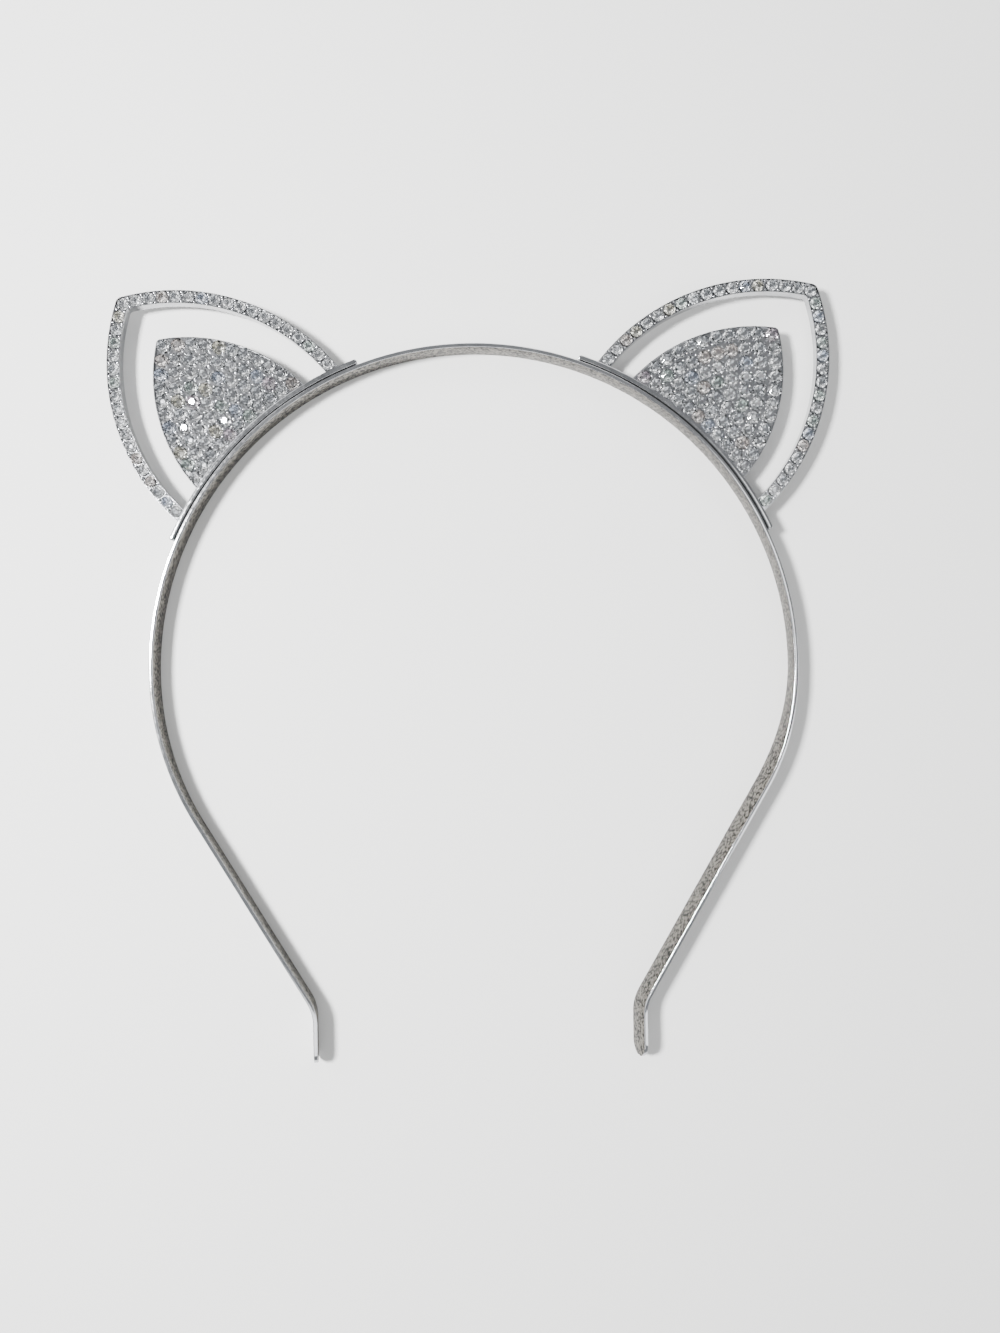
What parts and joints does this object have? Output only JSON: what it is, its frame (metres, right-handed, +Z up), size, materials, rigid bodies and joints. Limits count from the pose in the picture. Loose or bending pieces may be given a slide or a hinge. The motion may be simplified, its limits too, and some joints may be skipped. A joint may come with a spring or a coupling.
{
  "type": "cat ears headband",
  "caption": "Narrow metal headband with stone-set pointed cat ears, each an open frame around a smaller filled plate, lying flat.",
  "frame": {"origin": "middle of the headband's footprint, on the surface it lies on", "axes": "+X to the right in the picture, +Y from the ends of the legs to the ears, +Z up, away from the surface"},
  "size_m": [0.1544, 0.1662, 0.006],
  "materials": {
    "plated_steel": "polished silver-tone plating, taken to be on spring steel strip",
    "plated_casting": "polished silver-tone plating, taken to be on cast zinc alloy",
    "cut_stone": "clear cut stones with bright backs, taken to be glass"
  },
  "bodies": {
    "root": {"band": "plated_steel", "left_ear_casting": "plated_casting", "right_ear_casting": "plated_casting", "left_frame_stones": "cut_stone", "right_frame_stones": "cut_stone", "left_plate_stones": "cut_stone", "right_plate_stones": "cut_stone"}
  },
  "joints": []
}
